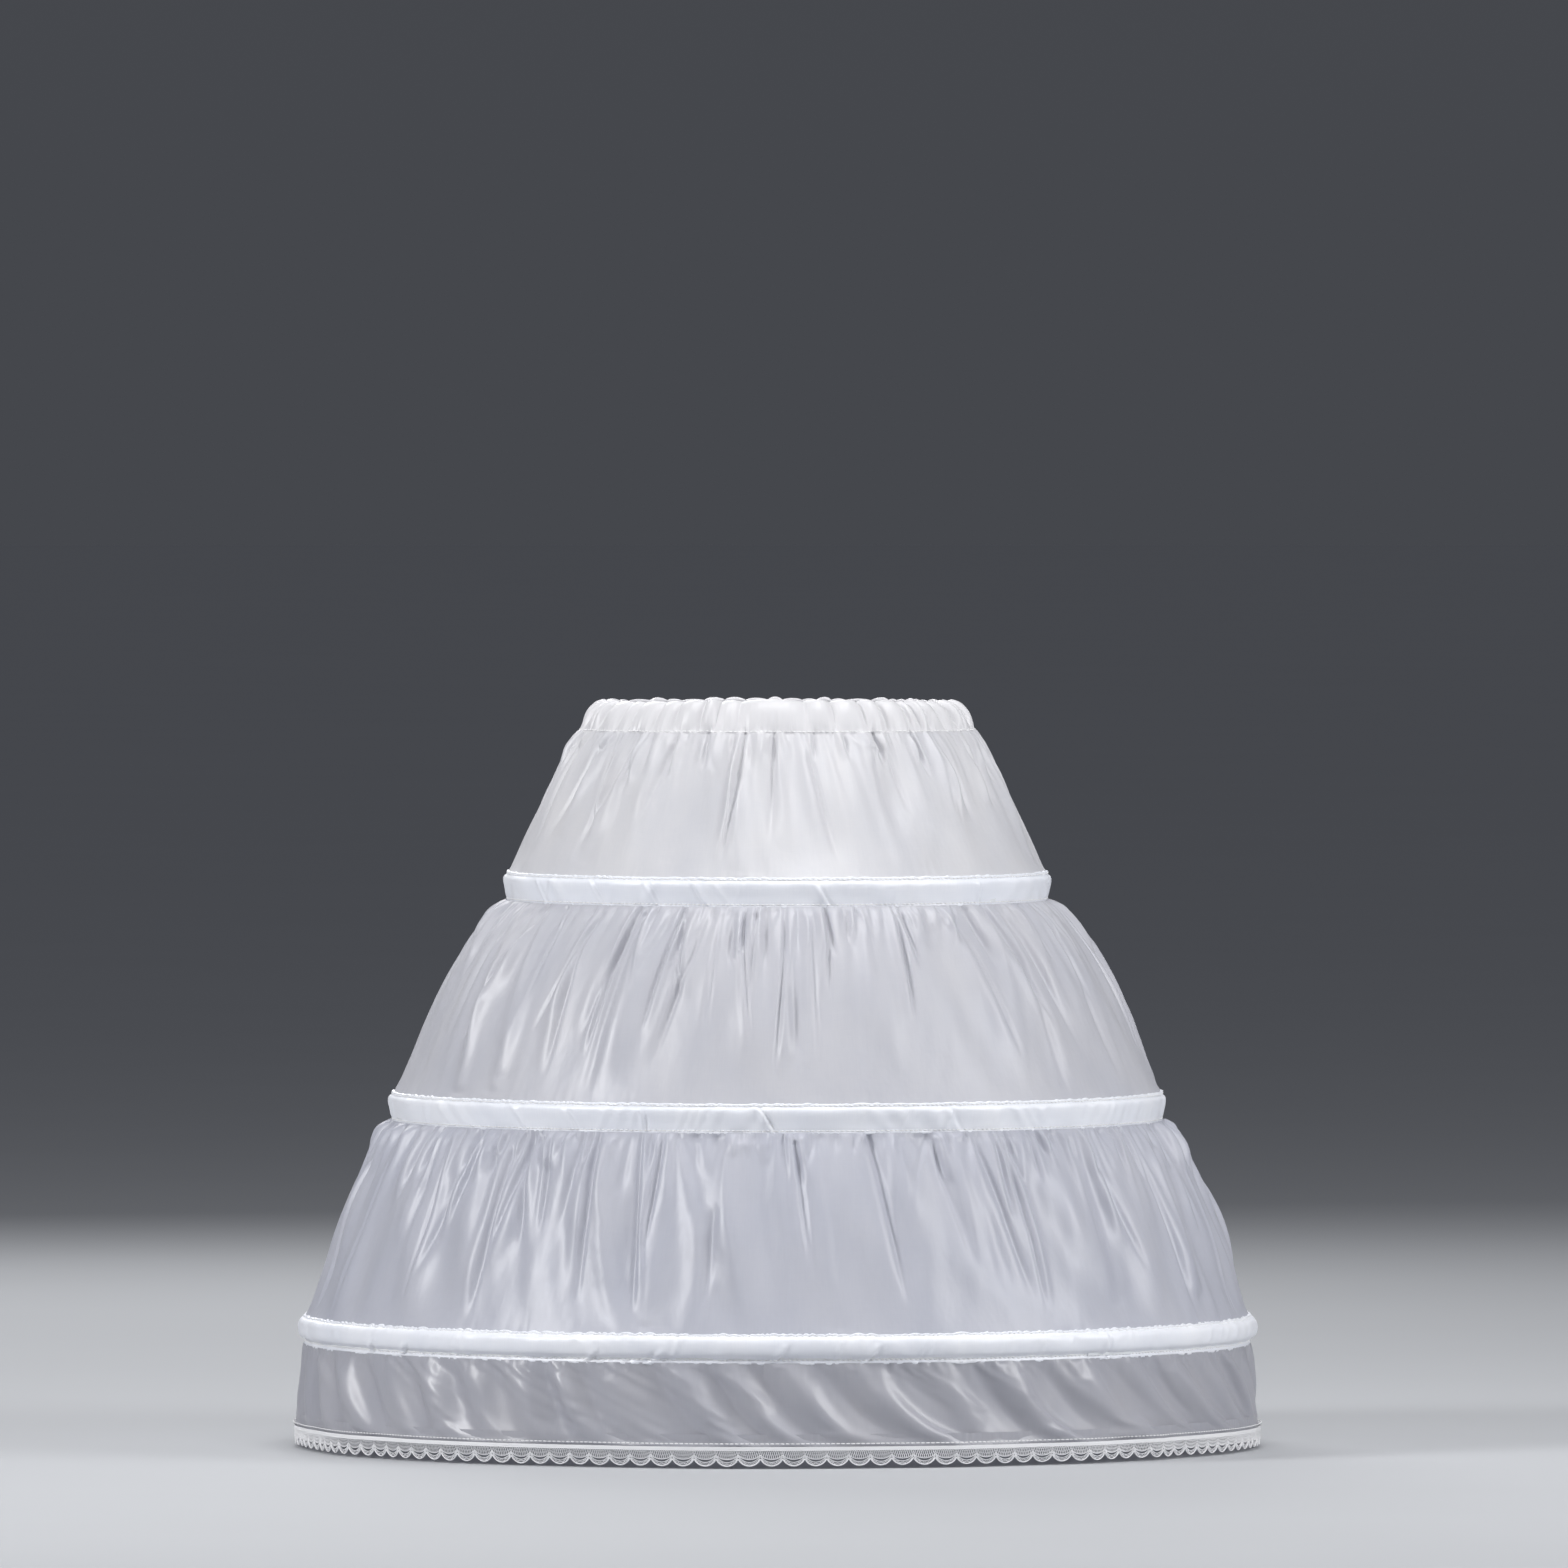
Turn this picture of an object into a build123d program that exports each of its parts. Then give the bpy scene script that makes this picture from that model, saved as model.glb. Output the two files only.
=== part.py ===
from build123d import *

import os
from math import cos, degrees, pi, radians, tan

# A child's crinoline petticoat: three flat sprung hoops in sewn casings, joined by gathered
# tiers of lining taffeta, with an elastic waist, a plain hem band and a scalloped lace edging.
# Millimetres. +Z is up, -Y is the wearer's front and +X is to the right of a viewer who faces
# it. The origin is the centre of the waist opening, level with its top edge, so everything
# else hangs below it. Drops are depths below the waist.

# Waist
waist_width = 200.0  # clear opening, side to side, as it sits on a small body
waist_depth = 164.0  # clear opening, front to back
waist_lean = 40.0  # degrees that the channel leans out over the hips
waist_seam = 2.0  # folded or sewn margin above and below the elastic's channel
elastic_width = 16.0
elastic_thickness = 1.2

# Cloth
cloth = 1.0  # wall that stands for one layer of taffeta and the depth of its small folds
channel_clearance = 0.3  # between a channel's walls and what is threaded through it
slit_length = 30.0  # opening left on the inside, where a hoop or the elastic is threaded in

# Hoops, from the top one down. A joiner's bearing is in degrees round from the front, to +X.
hoop_names = ["upper", "middle", "lower"]
hoop_diameters = [322.0, 460.0, 566.0]  # at the middle of the strip's thickness
hoop_drops = [110.0, 242.0, 376.0]  # at the middle of the strip's width
joiner_bearings = [47.0, -76.0, 44.0]
hoop_width = 12.0
hoop_thickness = 1.0
hoop_end_radius = 5.0  # rounding of the strip's cut ends
hoop_end_gap = 2.0  # left between the two ends, inside their joiner
joiner_length = 36.0
joiner_wall = 0.5
joiner_fit = 0.1  # between the strip and its joiner, all round
casing_seam = 2.1  # sewn margin above and below a hoop's channel

# Tiers. A tier swells out beyond the straight line between its two ends, and swells most at
# this share of the way down it.
tier_swells = {"top": 4.5, "middle": 13.0, "lower": 8.5}
tier_swell_places = {"top": 0.45, "middle": 0.35, "lower": 0.38}

# Hem band and lace
hem_depth = 49.0
hem_flare = 6.5  # from the lower hoop out to the hem band's widest line
hem_flare_place = 0.55  # share of the way down the hem band
hem_return = 1.5  # how far its edge turns back in from the widest line
lace_thickness = 0.6
lace_heading = 7.5  # straight band above the scallops
scallop_pitch = 13.0
scallop_depth = 4.0
scallop_tip = 2.0  # flat at the lowest point of each scallop

# Worked out from the sizes above
elastic_height = elastic_width * cos(radians(waist_lean))
waist_gap = elastic_thickness + 2 * channel_clearance
waist_wall = waist_gap + 2 * cloth
waist_channel = elastic_height + 2 * channel_clearance
waist_band = waist_channel + 2 * waist_seam
joiner_radial = hoop_thickness + 2 * (joiner_fit + joiner_wall)
joiner_height = hoop_width + 2 * (joiner_fit + joiner_wall)
channel_radial = joiner_radial + 2 * channel_clearance
channel_height = joiner_height + 2 * channel_clearance
casing_radial = channel_radial + 2 * cloth
casing_height = channel_height + 2 * casing_seam
hoop_radii = [diameter / 2 for diameter in hoop_diameters]
casing_tops = [casing_height / 2 - drop for drop in hoop_drops]
casing_feet = [-casing_height / 2 - drop for drop in hoop_drops]
hem_edge = casing_feet[-1] - hem_depth
hem_edge_radius = hoop_radii[-1] + hem_flare - hem_return


def waist_oval(height, outset):
    """Half width and half depth of the leaning waist opening, let out by outset."""
    spread = outset - height * tan(radians(waist_lean))
    return waist_width / 2 + spread, waist_depth / 2 + spread


def swelling_wall(top, middle, foot):
    """Section of a hanging wall of cloth: two like curves, a cloth apart, with level ends."""
    sides = []
    for shift in (cloth / 2, -cloth / 2):
        sides.append(Spline([(radius + shift, height) for radius, height in (top, middle, foot)]))
    Line(sides[0] @ 0, sides[1] @ 0)
    Line(sides[0] @ 1, sides[1] @ 1)


def tier_line(tier, top, foot):
    """The three points, (radius, height), that a tier's wall runs through."""
    place = tier_swell_places[tier]
    radius = top[0] + (foot[0] - top[0]) * place + tier_swells[tier]
    return top, (radius, top[1] + (foot[1] - top[1]) * place), foot


def round_from_front(bearing, turn):
    """The upright plane through the axis that is turn degrees past a bearing."""
    facing = bearing + turn
    along = Vector(1, 0, 0).rotate(Axis.Z, facing - 90)
    return Plane(origin=(0, 0, 0), x_dir=along, z_dir=along.rotate(Axis.Z, -90))


def finish(piece, name):
    """Label a finished piece and write it to its own file."""
    piece.part.label = name
    export_step(piece.part, f"parts/{name}.step")


os.makedirs("parts", exist_ok=True)

# Waist elastic: a flat band sewn into a ring, which leans out as its channel does
elastic_inset = cloth + channel_clearance
elastic_top = -waist_seam - channel_clearance
with BuildPart() as waist_elastic:
    for outset, how in (
        (elastic_inset + elastic_thickness, Mode.ADD),
        (elastic_inset, Mode.SUBTRACT),
    ):
        for height in (elastic_top, elastic_top - elastic_height):
            with BuildSketch(Plane.XY.offset(height)):
                Ellipse(*waist_oval(height, outset))
        loft(ruled=True, mode=how)
finish(waist_elastic, "waist_elastic")

# Top tier: one piece of cloth, folded in and down at the waist to make the elastic's channel,
# and let out from the oval waist to the round upper hoop
band_levels = (0.0, -waist_band)
channel_levels = (-waist_seam, waist_seam - waist_band)
swell_level = -waist_band + (casing_tops[0] + waist_band) * tier_swell_places["top"]
slit_reach = cloth + channel_clearance
with BuildPart() as top_tier:
    # the waist channel: both walls as one, the channel out of it, the inner wall, the opening
    for outset, levels, how in (
        (waist_wall, band_levels, Mode.ADD),
        (waist_wall - cloth, channel_levels, Mode.SUBTRACT),
        (cloth, band_levels, Mode.ADD),
        (0.0, band_levels, Mode.SUBTRACT),
    ):
        for height in levels:
            with BuildSketch(Plane.XY.offset(height)):
                Ellipse(*waist_oval(height, outset))
        loft(ruled=True, mode=how)
    # the slit through the inner wall at the back
    with BuildSketch(Plane.YZ):
        with BuildLine():
            Polyline(
                (waist_oval(channel_levels[0], -slit_reach)[1], channel_levels[0]),
                (waist_oval(channel_levels[0], slit_reach)[1], channel_levels[0]),
                (waist_oval(channel_levels[1], slit_reach)[1], channel_levels[1]),
                (waist_oval(channel_levels[1], -slit_reach)[1], channel_levels[1]),
                close=True,
            )
        make_face()
    extrude(amount=slit_length / 2, both=True, mode=Mode.SUBTRACT)
    # the skirt below the channel
    for side, how in ((0.0, Mode.ADD), (-cloth, Mode.SUBTRACT)):
        waist_foot = waist_oval(-waist_band, waist_wall + side)
        hoop_side = hoop_radii[0] + cloth / 2 + side
        for height, share, swell in (
            (-waist_band, 0.0, 0.0),
            (swell_level, tier_swell_places["top"], tier_swells["top"]),
            (casing_tops[0], 1.0, 0.0),
        ):
            with BuildSketch(Plane.XY.offset(height)):
                Ellipse(*(size + (hoop_side - size) * share + swell for size in waist_foot))
        loft(mode=how)
finish(top_tier, "top_tier")

# Middle and lower tiers: each gathered into the casing above and flat on the hoop below
for tier, above, below in (("middle", 0, 1), ("lower", 1, 2)):
    top = (hoop_radii[above], casing_feet[above])
    foot = (hoop_radii[below], casing_tops[below])
    with BuildPart() as tier_wall:
        with BuildSketch(Plane.XZ):
            with BuildLine():
                swelling_wall(*tier_line(tier, top, foot))
            make_face()
        revolve(axis=Axis.Z)
    finish(tier_wall, f"{tier}_tier")

# Hem band, which flares from the lower casing and turns back in a little at its edge
with BuildPart() as hem_band:
    with BuildSketch(Plane.XZ):
        with BuildLine():
            swelling_wall(
                (hoop_radii[-1], casing_feet[-1]),
                (hoop_radii[-1] + hem_flare, casing_feet[-1] - hem_depth * hem_flare_place),
                (hem_edge_radius, hem_edge),
            )
        make_face()
    revolve(axis=Axis.Z)
finish(hem_band, "hem_band")

# Hoop casings, hoops and joiners, from the top down
for name, radius, drop, bearing in zip(hoop_names, hoop_radii, hoop_drops, joiner_bearings):
    # the casing: a strip folded round the hoop, with a slit on the inside at the joiner
    slit_turn = degrees(slit_length / radius)
    with BuildPart() as casing:
        with BuildSketch(Plane.XZ):
            with Locations((radius, -drop)):
                Rectangle(casing_radial, casing_height)
                Rectangle(channel_radial, channel_height, mode=Mode.SUBTRACT)
        revolve(axis=Axis.Z)
        with BuildSketch(round_from_front(bearing, -slit_turn / 2)):
            with Locations((radius - channel_radial / 2, -drop)):
                Rectangle(2 * cloth + channel_clearance, channel_height)
        revolve(axis=Axis.Z, revolution_arc=slit_turn, mode=Mode.SUBTRACT)
    finish(casing, f"{name}_hoop_casing")

    # the hoop: a flat strip bent into a ring, its ends rounded and not quite meeting
    gap_turn = degrees(hoop_end_gap / radius)
    with BuildPart() as hoop:
        with BuildSketch(round_from_front(bearing, gap_turn / 2)):
            with Locations((radius, -drop)):
                Rectangle(hoop_thickness, hoop_width)
        revolve(axis=Axis.Z, revolution_arc=360 - gap_turn)
        corners = hoop.edges().filter_by(lambda edge: abs(edge.length - hoop_thickness) < 0.001)
        fillet(corners, radius=hoop_end_radius)
    finish(hoop, f"{name}_hoop")

    # the joiner: a flat sleeve that both ends are pushed into
    joiner_turn = degrees(joiner_length / radius)
    with BuildPart() as joiner:
        with BuildSketch(round_from_front(bearing, -joiner_turn / 2)):
            with Locations((radius, -drop)):
                Rectangle(joiner_radial, joiner_height)
                Rectangle(
                    hoop_thickness + 2 * joiner_fit,
                    hoop_width + 2 * joiner_fit,
                    mode=Mode.SUBTRACT,
                )
        revolve(axis=Axis.Z, revolution_arc=joiner_turn)
    finish(joiner, f"{name}_hoop_joiner")

# Lace edging: a band whose lower edge is notched into a row of round scallops
scallops = round(2 * pi * hem_edge_radius / scallop_pitch)
scallop_half = pi * hem_edge_radius / scallops
notch_half = scallop_half - scallop_tip / 2
lace_foot = hem_edge - lace_heading - scallop_depth
with BuildPart() as notch:
    with BuildSketch(Plane.XZ.offset(hem_edge_radius)):
        with BuildLine():
            top = (0, hem_edge - lace_heading)
            for side in (-notch_half, notch_half):
                foot = (side, lace_foot)
                TangentArc(foot, top, tangent=(-side, 0))
                Line(foot, (side, lace_foot - lace_thickness))
            Line((-notch_half, lace_foot - lace_thickness), (notch_half, lace_foot - lace_thickness))
        make_face()
    extrude(amount=2 * lace_thickness, both=True)
with BuildPart() as lace_edging:
    with BuildSketch(Plane.XZ):
        with Locations((hem_edge_radius, (hem_edge + lace_foot) / 2)):
            Rectangle(lace_thickness, hem_edge - lace_foot)
    revolve(axis=Axis.Z)
    with PolarLocations(0, scallops):
        add(notch.part, mode=Mode.SUBTRACT)
finish(lace_edging, "lace_edging")
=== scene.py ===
import math

import bpy
import numpy as np
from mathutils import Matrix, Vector


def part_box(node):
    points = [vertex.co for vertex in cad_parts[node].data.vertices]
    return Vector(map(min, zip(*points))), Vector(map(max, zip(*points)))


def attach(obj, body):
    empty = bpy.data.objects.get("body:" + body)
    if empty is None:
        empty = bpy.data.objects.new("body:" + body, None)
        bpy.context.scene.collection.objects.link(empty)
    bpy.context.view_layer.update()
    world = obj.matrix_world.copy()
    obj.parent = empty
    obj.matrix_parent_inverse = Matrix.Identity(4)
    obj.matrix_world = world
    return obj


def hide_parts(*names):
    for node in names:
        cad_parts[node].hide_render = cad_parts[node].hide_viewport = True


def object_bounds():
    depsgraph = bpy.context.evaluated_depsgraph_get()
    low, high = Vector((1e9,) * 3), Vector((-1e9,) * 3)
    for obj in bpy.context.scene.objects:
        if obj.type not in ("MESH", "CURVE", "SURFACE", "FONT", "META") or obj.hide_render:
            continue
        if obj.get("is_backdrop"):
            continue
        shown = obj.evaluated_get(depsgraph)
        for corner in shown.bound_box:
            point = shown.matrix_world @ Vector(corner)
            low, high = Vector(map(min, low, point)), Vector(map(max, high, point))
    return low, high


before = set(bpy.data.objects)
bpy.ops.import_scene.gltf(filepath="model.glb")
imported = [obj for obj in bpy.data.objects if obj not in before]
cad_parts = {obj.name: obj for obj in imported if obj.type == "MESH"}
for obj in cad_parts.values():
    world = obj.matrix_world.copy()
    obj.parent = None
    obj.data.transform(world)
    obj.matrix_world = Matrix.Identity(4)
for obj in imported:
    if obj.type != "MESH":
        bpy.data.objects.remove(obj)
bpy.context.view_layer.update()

bl_info = {
    "name": "Hoop petticoat",
    "version": (1, 0, 0),
    "blender": (4, 5, 0),
    "location": "View3D > Sidebar > Petticoat",
    "description": "A child's three-hoop petticoat: gathered taffeta tiers, casings and lace",
    "category": "Object",
}

# Metres throughout. +Z is up, -Y is the wearer's front and +X is to the right of a viewer who
# faces it. Angles run round the Z axis from +X; a bearing is in degrees from the front to +X.
# A sheet of cloth is laid out as a grid of points, with rows down it and columns round it.

TURN = 2 * math.pi
HOOPS = ("upper", "middle", "lower")
HOOP_THICKNESS = 0.001
JOINER_BEARINGS = {"upper": 47.0, "middle": -76.0, "lower": 44.0}
WAIST_LEAN = math.tan(math.radians(40))  # how far in the elastic leans for its height
WAIST_MARGIN = 0.0023  # from the elastic's lower edge to the stitching under it
WAIST_OUTSET = 0.0011  # from the elastic to the outer wall of its channel
SLIT = 0.030  # length of the opening in the inner wall of the channel and of each casing
CASING_OVER_TIER = 0.0012  # how far a casing's top comes over the tier that ends in it
CASING_OVER_GATHERS = 0.0008  # how far its foot comes over the cloth that starts in it
TIER_OUT = 0.0006  # from the middle of a hoop's strip out to the foot of a tier
GATHERS_OUT = 0.0010  # from there out to gathered cloth
UV_NAME = "cloth"

SEAMS = {}  # finished seam lines by name, each a closed ring of points for stitches or lace


def hoop_line(name):
    """Radius and level of the middle of a hoop's strip."""
    low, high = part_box(f"{name}_hoop")
    return high.x - HOOP_THICKNESS / 2, (low.z + high.z) / 2


def casing_seams(name):
    """Levels in a casing where the tier above it ends and where the cloth below it starts."""
    low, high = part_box(f"{name}_hoop_casing")
    return high.z - CASING_OVER_TIER, low.z + CASING_OVER_GATHERS


def waist_oval(level, outset=0.0):
    """Half width and half depth, at a level, of the leaning wall at outset from the elastic."""
    low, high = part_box("waist_elastic")
    spread = outset - (level - low.z) * WAIST_LEAN
    return high.x + spread, high.y + spread


# ---------------------------------------------------------------- sizes and colours


def length(name, description, default, shortest, longest):
    """A length that the sidebar shows."""
    return bpy.props.FloatProperty(
        name=name, description=description, default=default, min=shortest, max=longest,
        unit="LENGTH")


def colour(name, description, default):
    """A colour that the sidebar shows."""
    return bpy.props.FloatVectorProperty(
        name=name, description=description, default=default, size=3, min=0, max=1,
        subtype="COLOR")


class PetticoatSizes(bpy.types.PropertyGroup):
    """Sizes of the made-up cloth that a maker would change."""

    waist_puff: length(
        "Waist puff", "Width of one puff of cloth over the elastic", 0.0135, 0.006, 0.04)
    waist_puff_height: length(
        "Waist puff height", "How far a puff stands out over the elastic", 0.0046, 0.0, 0.008)
    gather: length(
        "Gather", "Width of one small gather where a tier is sewn to a casing",
        0.014, 0.004, 0.03)
    fold: length(
        "Fold", "Width of one of the folds that the gathers run into", 0.032, 0.01, 0.08)
    swag: length(
        "Swag", "Width of one of the broad soft folds half way down a tier", 0.070, 0.02, 0.15)
    hem_fold: length(
        "Hem fold", "Width of one of the slanting folds in the hem band", 0.041, 0.015, 0.12)
    scallop: length("Scallop", "Width of one scallop of the lace", 0.013, 0.006, 0.03)
    stitch: length("Stitch", "Length from one stitch to the next", 0.0030, 0.0015, 0.006)


class PetticoatColours(bpy.types.PropertyGroup):
    """Colours of the petticoat and of what it stands on."""

    # Painted shade: the top, middle, lower and hem colours are one white taffeta, made darker and
    # bluer step by step from the top tier down to the hem band.
    top_taffeta_painted_shade: colour("Top tier", "Taffeta of the top tier", (0.715, 0.71, 0.73))
    middle_taffeta_painted_shade: colour("Middle tier", "Taffeta of the middle tier", (0.605, 0.605, 0.645))
    lower_taffeta_painted_shade: colour("Lower tier", "Taffeta of the lower tier", (0.56, 0.568, 0.63))
    hem_taffeta_painted_shade: colour("Hem band", "Taffeta of the hem band", (0.45, 0.45, 0.49))
    casing_taffeta: colour("Casings", "Doubled taffeta of the hoop casings", (0.93, 0.945, 0.99))
    lace: colour("Lace", "Thread of the lace", (0.93, 0.93, 0.95))
    thread: colour("Thread", "Sewing thread", (0.93, 0.93, 0.94))
    strip: colour("Hoop strip", "Plastic of the hoops", (0.86, 0.87, 0.88))
    joiner: colour("Joiner", "Plastic of the hoops' joiners", (0.78, 0.80, 0.82))
    elastic: colour("Elastic", "Woven elastic at the waist", (0.87, 0.87, 0.86))
    floor: colour("Floor", "Plain studio floor", (0.46, 0.47, 0.49))


# ---------------------------------------------------------------- finishes


class Reading:
    """A number that varies over a surface, which plain arithmetic works on."""

    def __init__(self, finish, socket):
        self.finish, self.socket = finish, socket

    def maths(self, operation, *values, clamp=False):
        """The result of one Math node on this reading and other values."""
        inputs = dict(enumerate((self, *values)))
        return self.finish.add("Math", {"operation": operation, "use_clamp": clamp}, inputs)[0]

    def reflected(self, operation, value):
        """The result of one Math node on a plain number and this reading."""
        return self.finish.add("Math", {"operation": operation}, {0: value, 1: self})[0]

    def __add__(self, other):
        return self.maths("ADD", other)

    def __radd__(self, other):
        return self.reflected("ADD", other)

    def __sub__(self, other):
        return self.maths("SUBTRACT", other)

    def __rsub__(self, other):
        return self.reflected("SUBTRACT", other)

    def __mul__(self, other):
        return self.maths("MULTIPLY", other)

    def __rmul__(self, other):
        return self.reflected("MULTIPLY", other)

    def clamped(self):
        """This reading, kept from 0 to 1."""
        return self.maths("ADD", 0.0, clamp=True)


class Finish:
    """The nodes of a material, or of the world round the stage."""

    def __init__(self, owner):
        owner.use_nodes = True
        self.owner, self.tree = owner, owner.node_tree
        self.tree.nodes.clear()

    def add(self, kind, settings=(), inputs=()):
        """Adds a node of that type, makes its settings and then its sockets' values and links,
        and returns readings of its outputs."""
        node = self.tree.nodes.new("ShaderNode" + kind)
        for key, value in dict(settings).items():
            if key == "stops":
                for stop, (place, shade) in zip(node.color_ramp.elements, value):
                    stop.position, stop.color = place, shade
            else:
                setattr(node, key, value)
        for key, value in dict(inputs).items():
            if isinstance(value, Reading):
                self.tree.links.new(value.socket, node.inputs[key])
            else:
                node.inputs[key].default_value = value
        return [Reading(self, socket) for socket in node.outputs]

    def along_cloth(self):
        """Place on the flat cloth, in metres along and down it."""
        return self.add("UVMap", {"uv_map": UV_NAME})[0]

    def in_object(self):
        """Place in the object, in metres."""
        return self.add("TexCoord")[3]

    def parts(self, place):
        """The three numbers of a place."""
        return self.add("SeparateXYZ", {}, {0: place})

    def noise(self, place, scale, detail=2.0, roughness=0.5):
        """Soft random mottling, from 0 to 1. scale is in cells a metre, one for each direction."""
        spread = self.add("Mapping", {}, {"Vector": place, "Scale": scale})[0]
        return self.add("TexNoise", {"noise_dimensions": "3D"}, {
            "Vector": spread, "Scale": 1.0, "Detail": detail, "Roughness": roughness})[0]

    def tint(self, shade, low, high):
        """A colour from low, where shade is 0, to high, where it is 1."""
        return self.add("Mix", {"data_type": "RGBA"}, {
            0: shade, 6: (*low, 1.0), 7: (*high, 1.0)})[2]

    def bump(self, height, depth, strength=1.0, under=None):
        """A normal that follows height, which is depth metres tall from 0 to 1."""
        inputs = {"Height": height, "Distance": depth, "Strength": strength}
        if under is not None:
            inputs["Normal"] = under
        return self.add("Bump", {}, inputs)[0]

    def gloss(self, sockets):
        """A Principled shader with those values and links on its sockets."""
        return self.add("BsdfPrincipled", {}, sockets)[0]

    def surface(self, shader):
        """Makes shader the material's surface, and returns the material."""
        self.add("OutputMaterial", {}, {"Surface": shader})
        return self.owner


def new_finish(name):
    """The empty nodes of a new material."""
    return Finish(bpy.data.materials.new(name))


def scaled(shade, factor):
    """A colour made lighter or darker."""
    return tuple(min(1.0, channel * factor) for channel in shade)


COOL, WARM = (0.86, 0.88, 0.93), (1.08, 1.07, 1.05)  # how taffeta's shade varies, by channel
WHITER = 1.14  # how much lighter taffeta is where it is folded double


def taffeta(name, shade, sheer, dull=0.41, crumple=0.0011, doubled=None):
    """Thin plain-woven lining taffeta: a soft satin gloss, faint slubs along both sets of threads,
    shallow crumples, and light that comes through from behind by the share sheer. dull is its
    roughness, crumple the crumples' height, and doubled the distance from its top edge that is
    folded double, and so whiter."""
    finish = new_finish(name)
    place = finish.along_cloth()
    warp = finish.noise(place, (1600.0, 60.0, 1.0))
    weft = finish.noise(place, (50.0, 1900.0, 1.0))
    grain = finish.noise(place, (2600.0, 2600.0, 1.0), 1.0)
    cloud = finish.noise(place, (22.0, 14.0, 1.0), 3.0)
    creases = finish.noise(place, (48.0, 26.0, 1.0), 3.0, 0.5)
    threads = warp * 0.45 + weft * 0.35 + grain * 0.2
    tone = (threads * 0.5 + cloud * 0.5 - 0.5) * 1.8 + 0.5
    cool, warm = ([a * b for a, b in zip(shade, change)] for change in (COOL, WARM))
    # For the tiers and the hem band, shade holds painted shade: one white taffeta, darker and bluer
    # lower down.
    base = finish.tint(tone.clamped(), cool, warm)
    if doubled:
        down = finish.parts(place)[1]
        folded = ((doubled - down) * 1500.0).clamped()
        base = finish.add("Mix", {"data_type": "RGBA"}, {
            0: folded, 6: base, 7: (*scaled(shade, WHITER), 1.0)})[2]
    soft = finish.bump(creases, crumple, 0.8)
    woven = finish.bump(threads, 0.00006, 0.5, soft)
    satin = finish.gloss({
        "Base Color": base, "Roughness": (threads - 0.5) * 0.30 + (cloud - 0.5) * 0.12 + dull,
        "Normal": woven, "IOR": 1.5, "Specular IOR Level": 0.72,
        "Sheen Weight": 0.12, "Sheen Roughness": 0.35})
    # The light through the cloth takes the same colour, painted shade included.
    glow = finish.add("BsdfTranslucent", {}, {"Color": (*shade, 1.0), "Normal": soft})[0]
    return finish.surface(finish.add("MixShader", {}, {0: sheer, 1: satin, 2: glow})[0])


def spun_thread(name, shade):
    """Twisted polyester thread, for lace and stitches."""
    finish = new_finish(name)
    place = finish.in_object()
    twist = finish.noise(place, (2400.0, 2400.0, 1500.0), 1.0)
    mottle = finish.noise(place, (70.0, 70.0, 70.0), 2.0)
    tone = twist * 0.5 + mottle * 0.5
    base = finish.tint(tone.clamped(), scaled(shade, 0.90), scaled(shade, 1.05))
    return finish.surface(finish.gloss({
        "Base Color": base, "Roughness": twist * 0.3 + 0.42,
        "Normal": finish.bump(twist, 0.00008, 0.5), "Specular IOR Level": 0.5,
        "Sheen Weight": 0.2, "Sheen Roughness": 0.4}))


def drawn_plastic(name, shade, dull, streak):
    """Extruded plastic: faint lines along the strip, streak of them a metre, mottled gloss and
    rubbed pale scuffs. dull is its roughness where it isn't rubbed."""
    finish = new_finish(name)
    place = finish.in_object()
    lines = finish.noise(place, (3.0, 3.0, streak), 2.0)
    scuffs = finish.noise(place, (140.0, 140.0, 60.0), 5.0, 0.65)
    worn = finish.add("ValToRGB", {"stops": (
        (0.55, (0.0, 0.0, 0.0, 1.0)), (0.70, (1.0, 1.0, 1.0, 1.0)))}, {0: scuffs})[0]
    tone = lines * 0.5 + worn * 0.3 + 0.1
    base = finish.tint(tone.clamped(), scaled(shade, 0.93), scaled(shade, 1.04))
    return finish.surface(finish.gloss({
        "Base Color": base, "Roughness": dull + lines * 0.12 + worn * 0.18,
        "Normal": finish.bump(lines, 0.00006, 0.5), "Specular IOR Level": 0.5}))


CORD_PITCH = 0.0016  # from one cord of the elastic to the next
RIBS_ROUND = 480.0


def ribbed_elastic(name, shade):
    """Woven elastic: cords that run round it, crossed by fine ribs of covering yarn."""
    finish = new_finish(name)
    place = finish.in_object()
    x, y, height = finish.parts(place)
    cords = (height * (TURN / CORD_PITCH)).maths("SINE") * 0.5 + 0.5
    ribs = (y.maths("ARCTAN2", x) * RIBS_ROUND).maths("SINE") * 0.5 + 0.5
    fuzz = finish.noise(place, (900.0, 900.0, 900.0), 2.0)
    weave = cords * 0.55 + ribs * 0.25 + fuzz * 0.2
    base = finish.tint(weave.clamped(), scaled(shade, 0.84), scaled(shade, 1.05))
    return finish.surface(finish.gloss({
        "Base Color": base, "Roughness": fuzz * 0.2 + 0.6,
        "Normal": finish.bump(weave, 0.0002, 0.7), "Sheen Weight": 0.3, "Sheen Roughness": 0.5}))


def studio_paper(name, shade):
    """Plain matt paper."""
    finish = new_finish(name)
    mottle = finish.noise(finish.in_object(), (3.0, 3.0, 3.0), 3.0)
    base = finish.tint(mottle, scaled(shade, 0.98), scaled(shade, 1.02))
    return finish.surface(finish.gloss({
        "Base Color": base, "Roughness": 0.85, "Specular IOR Level": 0.2}))


# ---------------------------------------------------------------- cloth


def steps(points):
    """The distance from each point to the next, down the first axis."""
    return np.linalg.norm(np.diff(points, axis=0), axis=-1)


def added_up(distances):
    """How far along each point is, from the distances between them."""
    return np.concatenate([[0.0], np.cumsum(distances)])


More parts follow.
